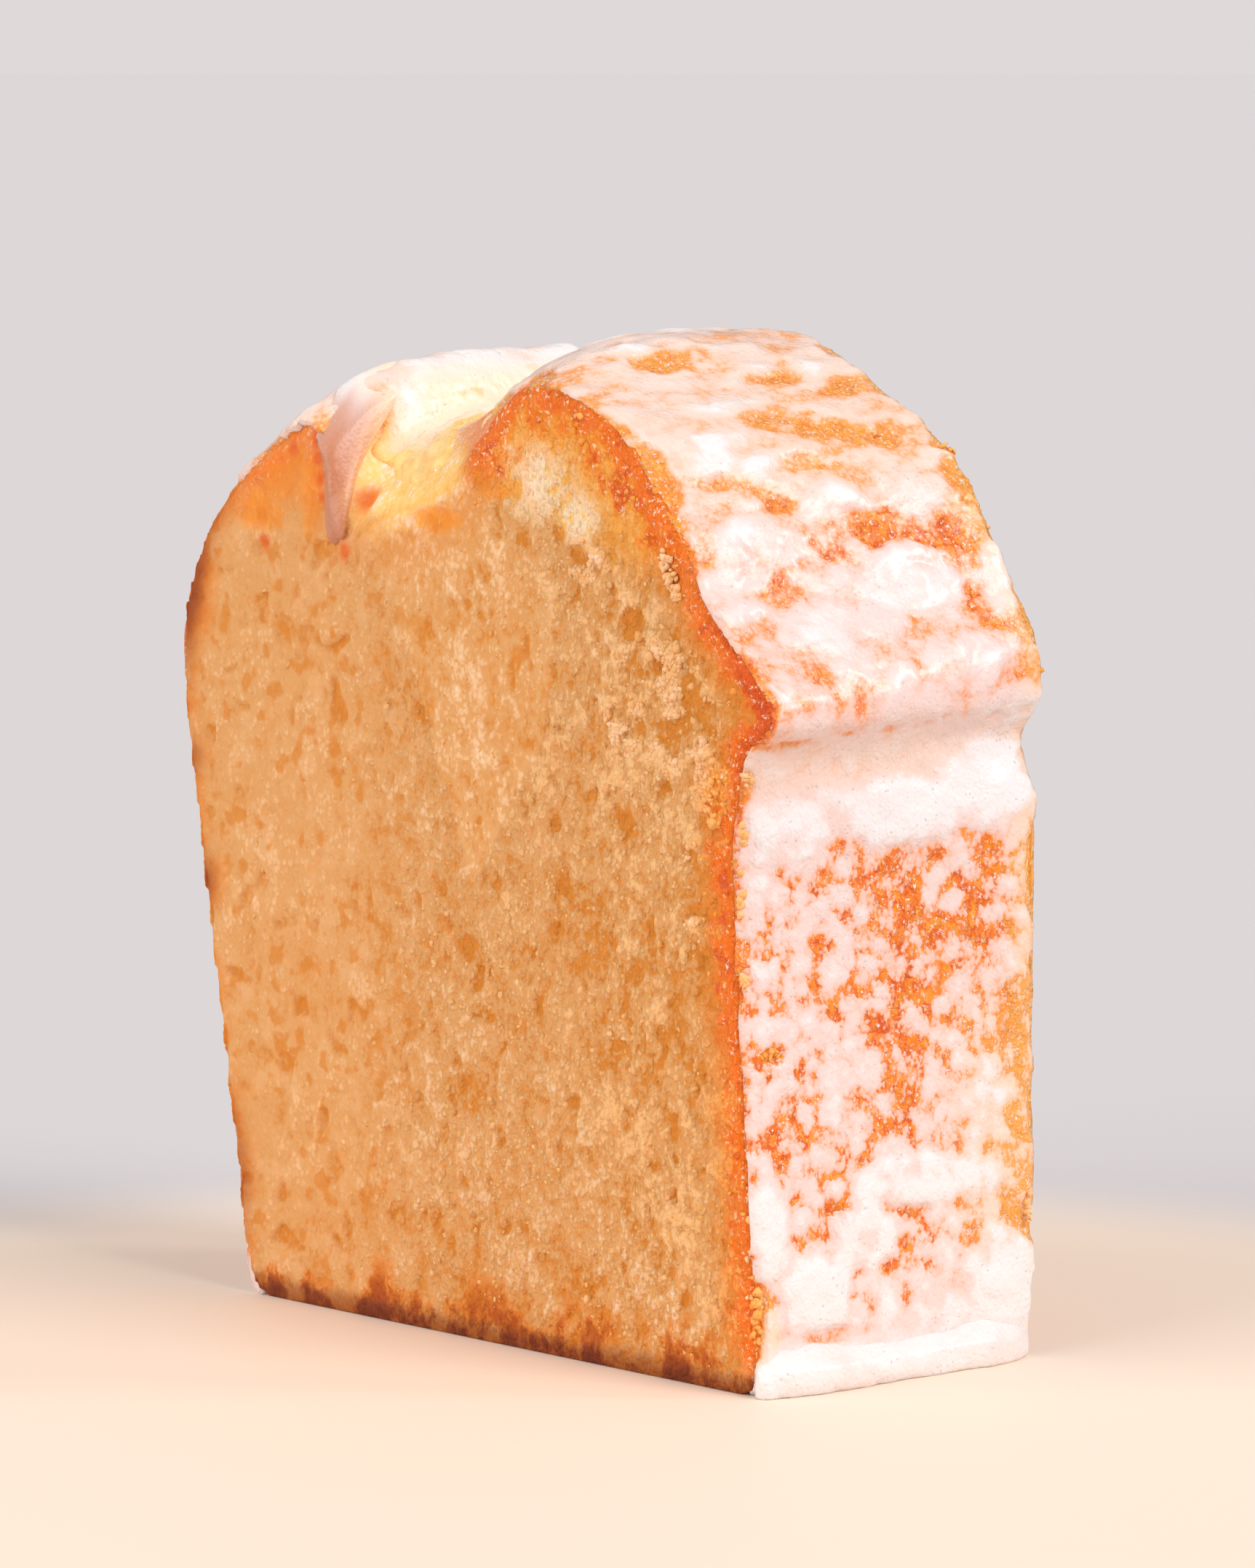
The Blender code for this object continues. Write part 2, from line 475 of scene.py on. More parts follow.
def sugar_group():
    """Glaze and syrup: heights of tiny crystals and wrinkles, and a mask of specks painted
    white, partly as sugar crystals and partly as painted glints.
    """
    group, wrinkle, result = new_group("Sugar Crystals", "Wrinkle", 0.5, ("Height", "Sugar Glints"))
    where = coordinates(group)
    sugar_glints = cells(where, 0.8).ramp(0.2, 0.08) * cloud(where, 4, 2).ramp(0.5, 0.62)
    height = cloud(where, 1.1, 4, 0.62, 0.8) * wrinkle + cells(where, 0.42) * -0.3 + sugar_glints
    wire(result, {"Height": height, "Sugar Glints": sugar_glints})
    return group


def grouped(tree, name, maker, inputs):
    """Return the outputs of a shared node group, made the first time that it is asked for."""
    group = bpy.data.node_groups.get(name) or maker()
    made = add_node(tree, "ShaderNodeGroup", {}, node_tree=group)
    wire(made, inputs)
    return [Shade(tree, output) for output in made.outputs]


def new_material(name, even):
    """Return a material, its tree and its Principled BSDF with these even values set."""
    material = bpy.data.materials.new(name)
    material.use_nodes = True
    shader = material.node_tree.nodes["Principled BSDF"]
    wire(shader, {"Subsurface Scale": MM, "Specular IOR Level": 0.3, **even})
    return material, material.node_tree, shader


def layered(colour, *coats):
    """Return a colour with others laid over it in turn, each by its own share."""
    for share, over in coats:
        colour = mix(share, colour, over)
    return colour


def crumb_colour(at, look):
    """Return the crumb's colour by height, with painted highlight on raised tips and painted
    shade in hollows; by damp patches; and with painted glow in the crack and in the glow
    patches.
    """
    level, where = at.level, at.where
    blurred = at.crisp.ramp(1.25, 0.65)
    # Inside the crack: yellow is partly the open crumb's own colour and partly painted glow of
    # light through the thin crumb; honey in the hollows and flake on the lumps' tips paint
    # shade and highlight on the lumps.
    inside = layered(look.honey, (level.ramp(-0.9, -0.2), look.yellow),
                     (level.ramp(-0.2, 0.4) * 0.95, look.flake), (at.cut * 0.4, look.honey))
    glow = at.rough_rim + at.ragged * 6
    blotch = mix(cloud(where, 3.4).ramp(0.3, 0.75), look.syrup, look.amber)
    # The glow patches' colour: painted glow of light through the crumb, palest on raised parts.
    glow_colour = layered(look.honey, (level.ramp(-0.7, 0.1), look.yellow),
                     (level.ramp(-0.25, 0.4), look.flake))
    # By height: paler raised tips are painted highlight and deeper hollows are painted shade,
    # mixed with the crumb's own random tone.
    return layered(
        look.deep,
        (level.ramp(-0.75, -0.1), look.tan),
        (level.ramp(0, 0.45), look.light),
        (level.ramp(0.4, 0.95), look.cream),
        (cloud(where, 10).ramp(0.45, 0.75) * 0.22, look.deep),
        (cloud(where, 3.4, 2, 0.45).ramp(0.5, 0.68) * (blurred * 0.3), look.light),
        (cloud(where, 2.5, 2, 0.45).ramp(0.56, 0.68) * (blurred * 0.75), look.deep),
        # In the crack the crumb near the surface takes the colour above, with its painted glow.
        (glow.ramp(10, 3) * at.crack * 0.4, look.syrup),
        (glow.ramp(3.6, 0.5) * at.crack, inside),
        ((at.drunk + at.ragged * 1.6).ramp(0, 1) * 0.85, blotch),
        (at.shine * 0.92, glow_colour))


def soaked_colour(at, look, crumb):
    """Return the colour of the syrup-soaked crust, with painted glow at the near wall's back
    edge and painted glints, and how wet it is.
    """
    crown = at.reach.ramp(1.2, 1.9)
    blotches = cloud(at.where, 2.6, 4, 0.6)
    depth = at.rough_rim / at.reach + at.ragged * 5 + (0.5 - blotches) * 4
    wet = depth.ramp(3.9, 1.5)
    # Painted glow along the near wall's back edge: it turns the crust honey and amber and lifts
    # its darkest red.
    late = at.late * 0.85
    dark = (at.rough_rim + at.ragged * 3.4 - at.scorch * 2.6).ramp(0.9, -0.9)
    # Painted glints: cream specks on the wet crust stand in for its highlights.
    painted_glints = cloud(at.where, 0.6, 2, 0.7).ramp(0.59, 0.67)
    return layered(
        crumb,
        (depth.ramp(6.6, 2.4) * (0.85 - at.shine * 0.6), mix(crown, look.syrup, look.honey)),
        (wet, mix(crown, look.orange, look.amber)),
        (depth.ramp(2.6, 0.9), look.orange),
        (late, mix(wet, look.honey, look.amber)),
        (at.level.ramp(0.1, 0.7) * 0.55, look.honey),
        (dark * (at.scorch * 0.6 + 0.3) * (1 - late), look.red),
        (blotches.ramp(0.55, 0.66) * wet * 0.75, look.red),
        (painted_glints * (wet * 0.85), look.cream)), wet


def baked_colour(at, look, crumb):
    """Return the colour of the plain baked crust, darkest along the underside, whose dark line
    is partly singed crust and partly painted contact shadow.
    """
    pillars = coordinates(at.where.tree, (1, 1, 0.7))
    low = cloud(pillars, 6.4, 5, 0.66).ramp(0.42, 0.62) * at.base
    depth = at.rough_rim + at.ragged * 2.4 - low * 5.6 - at.scorch * 3.4
    shown = at.scorch.at_least(at.base).at_least(cloud(at.where, 4).ramp(0.4, 0.6)) * 0.92
    singed = at.rough_rim.ramp(4.2, 0.6) * (at.scorch * 0.5)
    # The dark line along the underside: partly singed crust, partly painted contact shadow
    # where the slice sits on the floor.
    base_line_and_shadow = (at.rough_rim + at.ragged * 2).ramp(3.2, 1) * (at.base * (low * 0.35 + 0.6))
    return layered(crumb, (depth.ramp(3.6, -0.6) * shown, look.syrup),
                   (depth.ramp(1.4, -2.6) * shown, look.brown),
                   (singed.at_least(base_line_and_shadow) * 0.92, look.singed))


def cake_material(look):
    """Crumb that turns to soaked or plain baked crust towards the slice's outside."""
    material, tree, shader = new_material("cake", {"Subsurface Radius": (1.1, 0.65, 0.35)})
    height, tone = grouped(tree, "Crumb Granules", granule_group, {"Size": 0.75})
    at = surface(tree, "rim", "soak", "crack", "torn", "relief", "scorch", "crisp", "cut",
                 "drunk", "shine", "reach", "late", "base", "stain")
    # The level sets the crumb's colour by height, which paints highlight on raised tips and
    # shade in hollows.
    at.level = (at.relief + (height - 0.55) * 0.9 + (tone - 0.5) * 0.9) * at.crisp
    at.level = at.level + at.torn * 0.4
    at.ragged = cloud(at.where, 3, 5, 0.66) - 0.5
    at.rough_rim = at.rim - at.level * 0.6
    crumb = crumb_colour(at, look)
    soaked, wet = soaked_colour(at, look, crumb)
    colour = layered(baked_colour(at, look, crumb), (at.soak, soaked), (at.crack, crumb),
                     (at.stain * 0.85, look.stain))
    even = at.crack.at_least(at.torn).at_least(at.shine)
    height = height * (1 - at.crack * 0.7) * at.crisp.ramp(0.5, 1.05, 0.3, 1)
    wire(shader, {"Base Color": colour, "Subsurface Weight": even.ramp(0, 0.6, 0.5, 0.08),
                  "Roughness": (wet * at.soak).ramp(0.1, 0.9, 0.6, 0.22),
                  "Normal": bump(height, 0.42)})
    return material


def grain_material(look):
    """Single crumbs: cream to tan, each with its own tone."""
    material, tree, shader = new_material("crumb grains", {"Roughness": 0.5})
    height, _ = grouped(tree, "Crumb Granules", granule_group, {"Size": 0.4})
    tone = field(tree, "tone")
    damp = mix(tone.ramp(0, 0.6), look.amber, look.honey)
    colour = layered(look.tan, (tone.ramp(-0.1, 0.5), look.light),
                     (tone.ramp(0.35, 0.9), look.cream), (0.38, look.honey),
                     (tone.ramp(0.85, 1.3) * 0.7, look.flake),
                     (field(tree, "soak") * 0.9, damp))
    wire(shader, {"Base Color": colour, "Normal": bump(height, 0.12)})
    return material


def bare_colour(at, cake, height, tone):
    """Return the colour of crust that the glaze leaves bare, orange to honey."""
    return layered(
        cake.orange,
        (tone.ramp(0.44, 0.7), cake.amber),
        (tone.ramp(0.48, 0.34) * 0.75, cake.red),
        # Painted glow turns the bare crust amber and its raised granules yellow.
        (at.warm * 0.8, cake.amber),
        (height.ramp(0.5, 0.9) * (at.warm * 0.6 + 0.35), mix(at.warm, cake.honey, cake.yellow)),
        (at.crack, cake.honey))


def icing_colour(at, look, cake, bare):
    """Return the glaze's colour by its thickness, from the bare crust to white."""
    lumps = cloud(at.where, 2.8, 4, 0.6).ramp(0.52, 0.66)
    return layered(
        bare,
        # In the crack the glaze takes the crumb's yellow, partly painted glow.
        (at.film, mix(at.crack, look.thin, cake.yellow)),
        (at.broken.ramp(0, 0.22), mix(at.crack * 0.7, look.pink, cake.yellow)),
        (at.thick.ramp(0.14, 0.42), look.pale),
        # Painted glow yellows the glaze.
        (at.warm * 0.26, cake.yellow),
        (at.thick.ramp(0.42, 0.85), look.white),
        # The crack's glaze is yellowed again over its thick parts, partly as painted glow.
        (at.crack * 0.4, cake.yellow),
        (lumps * (at.crack * 0.5), cake.honey))


def glaze_material(name, look, cake, damp=False):
    """Glaze whose colour goes from bare crust through pink film to thick white."""
    material, tree, shader = new_material(name, {
        "Subsurface Radius": (0.4, 0.27, 0.2), "Coat Weight": 0.45, "Coat Roughness": 0.18})
    crystals, sugar_glints = grouped(tree, "Sugar Crystals", sugar_group, {"Wrinkle": 0.9})
    height, tone = grouped(tree, "Crumb Granules", granule_group, {"Size": 0.7})
    at = surface(tree, "thick", "patchy", "streaky", "veined", "warm", "crack")
    mottle = cloud(at.where, 3, 4, 0.58).ramp(0.3, 0.7) - 0.5
    lobes = cells(pushed(at.where, 0.45, 2.6), 2.8).ramp(0.85, 0.1) - 0.5
    drawn = cloud(coordinates(tree, (1, 0.45, 1)), 3.2, 4, 0.58).ramp(0.3, 0.7) - 0.5
    folds = abs(cloud(at.where, 6, 4, 0.6, 0.6) - 0.5).ramp(0.06, 0) * at.veined
    at.thick = at.thick + (mottle * 0.42 + lobes * 0.42) * at.patchy + drawn * at.streaky
    at.thick = at.thick - folds * 0.07
    at.broken = at.thick + (height - 0.55) * (at.patchy * 0.42 + 0.14)
    soft = at.streaky * 0.3 + 0.1
    at.film = at.broken.ramp(soft * -1, soft)

    colour = icing_colour(at, look, cake, bare_colour(at, cake, height, tone))
    # On the run, painted glow yellows its right side, and the damp colour darkens its lower
    # part, partly as syrup-soaked glaze and partly as painted shade.
    if damp:
        colour = layered(colour, (at.warm * 0.4, cake.yellow),
                         (field(tree, "damp"), mix(at.warm * 0.9, look.run, cake.light)))
    # Painted glints: white specks on the bare crust and thin film stand in for highlights; the
    # sugar specks, also painted white, are partly sugar crystals and partly painted glints.
    painted_glints = cloud(at.where, 0.5, 2, 0.7).ramp(0.59, 0.67) * (1 - at.film)
    sugar_glints = (sugar_glints * 0.6).at_least(painted_glints * 0.85)
    relief = crystals * 0.3 + height * (1.3 - at.film) + at.thick * 0.6
    wire(shader, {"Base Color": mix(sugar_glints, colour, look.white),
                  "Subsurface Weight": at.crack.ramp(0, 0.5, 0.2, 0),
                  "Roughness": at.thick.ramp(0, 0.6, 0.2, 0.34) - sugar_glints * 0.15,
                  "Normal": bump(relief, 0.32)})
    return material


# Fields over the slice

def crust_tree():
    """Return a search tree of the slice's crust: its faces that aren't cut faces."""
    bm = merged_copy("cake_slice")
    bm.normal_update()
    cut = [face for face in bm.faces if abs(face.normal.y) > 0.9]
    bmesh.ops.delete(bm, geom=cut, context="FACES")
    tree = BVHTree.FromBMesh(bm)
    bm.free()
    return tree


def nearest_crust(points):
    """Return what a search of the crust finds for each point."""
    tree = crust_tree()
    return [tree.find_nearest(Vector(point) * MM) for point in points]


def crust_bumps(points):
    """Return the heights in mm of the baked crust's own bumps."""
    return 0.28 * layers(points, 3.6, 3, SEED + 40)


def crust_fields(points):
    """Return each point's distance to the crust in mm, and marks of the crust by name.

    soak is how soaked it is, reach how far the syrup went in, crack how far it lies inside
    the crack, scorch how dark it was baked and base how near the underside it is; one more mark
    paints glow along the near wall's back edge.
    """
    found = nearest_crust(points)
    rim = np.array([hit[3] for hit in found]) / MM
    nearest = np.array([hit[0] for hit in found]) / MM
    x, y, z = nearest.T
    dome = ramp(-44, -36, x) * ramp(80, 88, z)
    wall = ramp(30, 40, x) * ramp(0.5, 5, z)
    lip = hump(z, 72, 7) * ramp(20, 30, x)
    flank = hump(z, 77.5, 8) + 0.6 * hump(z, 59.5, 2.2)
    flank += 0.7 * hump(z, 46, 3) + 0.6 * hump(z, 14, 7)
    flank *= ramp(-30, -38, x)
    crown = ramp(84, 94, z) * ramp(0, 4, x)
    basin = ramp(-30, -27, x) * ramp(0, -6, x) * ramp(93, 89, z)
    dome *= (1 - 0.85 * basin) * (0.55 + 0.45 * ramp(-20, -5, x))
    # Painted glow of light coming through from behind, along the near wall's back edge.
    late = ramp(12, 17, y) * ramp(30, 36, x)
    marks = {"soak": np.maximum(dome, wall), "reach": 1.1 + 0.9 * crown, "late": late,
             "crack": crack_field(nearest) * ramp(-24.5, -21.5, points[:, 0]),
             "scorch": np.maximum(lip, flank),
             "base": ramp(3, 1, z)}
    return rim, marks


def crack_lumps(points):
    """Return the heights in mm of the lumpy crumb inside the crack."""
    heights = 1.1 * layers(points, 4.2, 2, SEED + 55) + 0.5 * layers(points, 1.7, 2, SEED + 50)
    heights = np.maximum(heights + 0.2, -0.4)
    return heights * ramp(-22.5, -17.5, points[:, 0])


def crack_field(points, further=0):
    """Return 1 inside the split of the dome and 0 outside it; further widens it, in mm."""
    x, y, z = points.T
    across = ramp(-26.5, -23.5, x) * ramp(3 + further, -3 + further, x)
    brim = 97.5 + 0.8 * further + 4 * np.clip(share_along(y) * 2.5, 0, 1)
    return across * ramp(brim, brim - 4, z) * ramp(85.5, 89.5, z)


# Spots of dark syrup: across, along the loaf, up and radius, all in mm.
SYRUP_STAINS = [(-19.8, -16.3, 89.8, 1.5), (-20.6, -19.2, 84.2, 0.9), (-34.5, -19.2, 84.4, 0.9),
                (-25.2, -19.2, 96.2, 0.9), (-25, -19.2, 94, 0.9), (-24.8, -19.2, 91.8, 0.8),
                (-24.4, -19.2, 89.8, 0.7), (-29.3, -19.2, 95, 0.8)]

# Soft patches on the front cut face where the crumb drank syrup, and where glow is painted
# as if light came through the crumb: across, up, half width, half height, all in mm.
DRUNK_PATCHES = [(-31, 92, 5, 4), (-26.5, 90, 2.4, 5), (-35.5, 88, 4.5, 3),
                 (5, 93, 4, 2.2), (-5, 88.4, 5, 1.6)]
GLOW_PATCHES = [(12, 93.8, 6.5, 4.6), (6.5, 96, 3, 2.4), (18.5, 89.8, 4, 3)]

# Heaps of torn crumb on the front cut face: across, up, half width, half height, all in mm.
TORN_HEAPS = [(27.6, 80, 2.8, 3), (30.5, 75.2, 6, 2.8),
              (35.8, 68.5, 6, 6.5), (40, 62, 3.6, 6), (33.4, 84.2, 1.3, 2.6),
              (20.5, 85.6, 4.4, 2.6), (38, 52, 3, 6), (26, 69, 4, 4)]

# Clusters of loose crumbs that stick to the slice: across, along, up, size along each axis
# in mm, count, paleness and dampness.
CLUSTERS = [
    (32.4, -19.15, 85.9, (1, 0.25, 1.2), 34, 0.7, 0),
    (33.2, -19.1, 84, (0.9, 0.25, 1.3), 28, 0.6, 0.1),
    (34.4, -19.05, 82.2, (0.8, 0.25, 0.9), 20, 0.55, 0.2),
    (45, -18.8, 64, (0.4, 0.5, 1.6), 16, 0.6, 0.4),
    (44.4, -18.8, 58, (0.5, 0.6, 1.2), 16, 0.6, 0.4),
    (44.2, -19, 51.5, (0.4, 0.4, 3), 6, 0.7, 0.6),
    (44.6, -15.2, 35.2, (0.3, 2.2, 0.9), 44, 0.3, 0.75),
    (44.6, -18.8, 43, (0.3, 0.6, 1), 12, 0.6, 0.4),
    (45.5, -18.8, 15, (0.5, 0.4, 7), 14, 1, 0.3),
    (46.6, -18.9, 8.5, (0.5, 0.6, 4), 30, 0.4, 0.8),
    (41, 18.4, 87.6, (0.5, 0.6, 1.2), 14, 0.3, 0.9),
    (48.8, 18.4, 74, (0.6, 0.8, 1.6), 22, 0.3, 0.9),
    (34.8, 18.6, 96, (0.9, 0.7, 1), 14, 0.5, 0.8),
    (48.4, 18.2, 16, (0.4, 0.6, 3), 18, 0.9, 0.5),
]


def front_patches(points, patches):
    """Return how fully each point lies in the given soft patches of the front cut face."""
    total = np.zeros(len(points))
    for across, up, half_width, half_height in patches:
        away = np.hypot((points[:, 0] - across) / half_width, (points[:, 2] - up) / half_height)
        total = np.maximum(total, ramp(1.4, 0.3, away))
    return total * ramp(FRONT + 2, FRONT + 1, points[:, 1])


def torn_field(points):
    """Return how torn the front cut face is at each point and how fully crumbs heap there."""
    bend = 0.8 * sway(points, 1.8, SEED + 90)
    heaps = ramp(-0.12, 0.3, layers(points + bend, (2.8, 2.8, 2.2), 3, SEED + 96))
    torn = front_patches(points, TORN_HEAPS)
    return torn, torn * heaps


def crumb_relief(points, granule, pit, seed):
    """Return heights of a cut face in mm: granules of two sizes, ridges and hollows."""
    upright = points * np.array([1, 1, 0.8])
    bent = upright + 0.9 * sway(upright, 3, seed) + 0.3 * sway(upright, 1.1, seed + 3)
    big, _ = granules(bent, granule * 1.5, seed + 5)
    small, _ = granules(bent, granule * 0.8, seed + 9)
    ridges = 0.5 - 2.2 * np.abs(layers(bent, 2.6, 3, seed + 15))
    left = ramp(0, -25, points[:, 0])
    wide = ramp(0.3, 0.65, layers(bent, (3.2, 3.2, 2.4), 2, seed + 26))
    hollows = ramp(0.12, 0.75, layers(bent, 2, 3, seed + 20)) * (1 - 0.5 * left)
    hollows = np.maximum(hollows, left * wide)
    right = ramp(8, 28, points[:, 0])
    heights = 0.18 * (0.55 - big) + 0.2 * (1 - 0.45 * left) * (0.5 - small) + 0.14 * ridges
    heights += 0.24 * layers(bent, 2.4, 4, seed + 23)
    heights *= 1 + 0.35 * right - 0.25 * left
    heights += 0.2 * layers(points, 9, 2, seed + 31)
    return heights - pit * hollows


# The cake

def build_body(look):
    """Model the slice with a granular cut face at both ends and a bumpy crust."""
    bm = even_mesh("cake_slice", look.grid)
    front_faces = [face for face in bm.faces if face.calc_center_median().y / MM < FRONT + 0.3]
    halve_edges(bm, front_faces)
    settle(bm, 3)
    points, normals = places(bm)
    rim, marks = crust_fields(points)

    facing = np.abs(normals[:, 1])
    cut = ramp(0.55, 0.95, facing)
    # The painted back-edge glow keeps to within a few mm of the crust.
    marks["late"] = marks["late"] * ramp(3, 0.5, rim)
    heights = crumb_relief(points, look.granule / MM, look.pit / MM, SEED)
    torn, heaps = torn_field(points)
    inner = ramp(0.3, 3.5, rim)
    heights *= 0.45 + 0.55 * inner
    heights += 0.45 * heaps - 0.2 * torn
    heights -= 0.12 + 0.25 * (1 - ramp(0, 0.9, rim))
    crust = crust_bumps(points)
    crack = crack_field(points)
    rough = crack * crack_lumps(points)
    relief = cut * np.clip((heights + 0.15) / 0.55, -1.3, 1) + (1 - cut) * rough
    relief += 0.7 * heaps - 0.2 * torn
    moved = cut * heights + (1 - cut) * (crust * (1 - crack) + rough)
    standing = ramp(0, 2.5, points[:, 2])
    moved = np.where(normals[:, 2] < -0.5, 0, moved * (0.3 + 0.7 * standing))
    set_places(bm, points + normals * moved[:, None])
    stain = np.zeros(len(points))
    for across, along, up, radius in SYRUP_STAINS:
        away = np.linalg.norm(points - (across, along, up), axis=1) / radius
        stain = np.maximum(stain, ramp(1.7, 0.4, away + 0.5 * crust))
    # Patches of painted glow on the front cut face; they also lift the crumb's level.
    pale = front_patches(points, GLOW_PATCHES)
    crisp = 0.6 + 0.4 * ramp(-28, 2, points[:, 0])
    crisp += 0.3 * ramp(10, 30, points[:, 0])
    fields = {"rim": rim, "torn": heaps, "cut": cut, "relief": relief + 0.35 * pale,
              "stain": stain, "crisp": crisp, "shine": pale,
              "drunk": front_patches(points, DRUNK_PATCHES), **marks}
    return finish_piece("cake_body", bm, cake_material(look), fields, ["cake_slice"])


def grain_shapes(count, rng):
    """Return the points and faces of a few uneven crumbs of unit size."""
    shapes = []
    for _ in range(count):
        bm = bmesh.new()
        bmesh.ops.create_icosphere(bm, subdivisions=1, radius=1.0)
        points = np.array([vert.co for vert in bm.verts])
        points *= 1 + rng.uniform(-0.34, 0.34, (len(points), 1))
        points *= rng.uniform(0.6, 1.3, 3)
        faces = np.array([[vert.index for vert in face.verts] for face in bm.faces])
        bm.free()
        shapes.append((points, faces))
    return shapes


def spun(points, rng):
    """Return the points turned at random about the origin."""
    axes, _ = np.linalg.qr(rng.normal(size=(3, 3)))
    return points @ (axes * np.sign(np.linalg.det(axes)))


def joined_grains(name, centres, radii, fields, material, rng):
    """Join one crumb at each centre into a single piece."""
    shapes = grain_shapes(GRAIN_SHAPES, rng)
    all_points, all_faces, offset = [], [], 0
    for centre, radius in zip(centres, radii):
        points, faces = shapes[rng.integers(len(shapes))]
        points = spun(points, rng) * radius + centre
        all_points.append(points)
        all_faces.append(faces + offset)
        offset += len(points)
    points = np.concatenate(all_points) * MM
    points[:, 2] = np.maximum(points[:, 2], 0)
    mesh = bpy.data.meshes.new(name)
    mesh.from_pydata(points, [], np.concatenate(all_faces).tolist())
    bm = bmesh.new()
    bm.from_mesh(mesh)
    bpy.data.meshes.remove(mesh)
    bmesh.ops.recalc_face_normals(bm, faces=bm.faces)
    each = len(shapes[0][0])
    spread = {key: np.repeat(values, each) for key, values in fields.items()}
    return finish_piece(name, bm, material, spread)


def build_grains(look):
    """Seat thousands of crumbs on both cut faces, thickest where the crumb is torn."""
    rng = np.random.default_rng(SEED)
    body = bpy.data.objects["cake_body"].data
    points = np.array([vert.co for vert in body.vertices]) / MM
    normals = np.array([vert.normal for vert in body.vertices])

    def values(name):
        found = np.zeros(len(points), np.float32)
        body.attributes[name].data.foreach_get("value", found)
        return found

    rim, soak, torn = values("rim"), values("soak"), values("torn")
    relief, reach = values("relief"), values("reach")
    front = (np.abs(points[:, 1] - FRONT) < 1.6) & (normals[:, 1] < -0.3)
    back = (np.abs(points[:, 1] - BACK) < 1.6) & (normals[:, 1] > 0.3)
    patchy = layers(points, (5, 5, 7), 3, SEED + 70)
    chance = 0.3 + 0.7 * ramp(-0.3, 0.4, patchy) + 6 * torn
    chance *= 0.12 + 0.88 * ramp(-25, 14, points[:, 0])
    chance *= ramp(0.4, 3, rim) * ramp(-0.9, 0.2, relief + torn)
    chance *= np.maximum(0.5 * soak, ramp(2, 7, rim))
    chance *= np.where(front, 1, np.where(back, 2, 0))
    chosen = rng.choice(len(points), GRAIN_COUNT, replace=False, p=chance / chance.sum())
    radii = rng.lognormal(np.log(GRAIN_RADIUS), 0.34, len(chosen))
    radii = np.minimum(radii * (1 + 0.35 * torn[chosen]), GRAIN_MOST)
    lift = rng.uniform(-1, -0.4, len(chosen)) * radii
    lift += torn[chosen] * rng.uniform(0, 0.25, len(chosen))
    centres = points[chosen] + normals[chosen] * lift[:, None]
    tone = 0.2 + 0.3 * patchy[chosen] + rng.uniform(-0.3, 0.3, len(chosen))
    # Crumbs in the patches of painted glow are paler.
    tone += 0.6 * torn[chosen] + 0.45 * values("shine")[chosen]
    depth = reach[chosen]
    wet = soak[chosen] * ramp(3 + 3.5 * depth, 1 + 1.5 * depth, rim[chosen])
    batches = [(centres, radii, tone, wet)]
    for across, along, up, size, count, pale, damp in CLUSTERS:
        batches.append((
            rng.normal(size=(count, 3)) * np.array(size) * 0.42 + (across, along, up),
            np.minimum(rng.lognormal(np.log(CLUSTER_RADIUS), 0.4, count), CLUSTER_MOST),
            pale + rng.uniform(-0.2, 0.2, count), damp + rng.uniform(-0.2, 0.2, count)))
    centres, radii, tone, wet = (np.concatenate(part) for part in zip(*batches))
    fields = {"tone": tone, "soak": wet}
    return joined_grains("crumb_grains", centres, radii, fields, grain_material(look), rng)


# The glaze

# Thicker (or thinner) patches on the near wall: along the loaf, up, half width, half
# height and extra thickness, all in mm.
WALL_PATCHES = [
    (1.4, 59.5, 7.4, 3.8, 0.6),
    (13, 62.5, 7, 5, 0.5),
    (-13, 58, 6.4, 3.8, 0.35),
    (-11, 10.4, 4.6, 4.6, 1.2),
    (-4.7, 15.3, 4.6, 3.6, 0.6),
    (-16.8, 17.3, 2.6, 6.4, 0.8),
    (4.5, 20.5, 12, 2.8, 0.5),
    (14, 11, 5, 4, 0.5),
    (4, 48, 8, 9, -0.12),
    (12, 50, 2.5, 7, -0.14),
    (17.5, 55, 2.6, 5, -0.16),
    (17, 30, 3, 12, -0.18),
    (16.5, 18, 3.4, 4.4, -0.26),
    (2.5, 30, 3, 8, -0.12),
    (-13.5, 27, 2.6, 2.6, -0.12),
    (12, 29, 4.5, 6, 0.2),
    (3, 11.6, 5, 1.4, -0.1),
    (3, 8.5, 8, 3.6, 0.14),
    (-8.5, 17.5, 1.6, 2.6, -0.3),
    (-15, 35, 1.6, 0.9, -0.4),
    (-19.2, 7, 1.2, 4, -1.3),
    (-9, 5.4, 5.5, 1.2, -0.4),
    (15, 7, 6, 3.6, 0.6),
    (1, 17, 5, 1.4, -0.2),
]

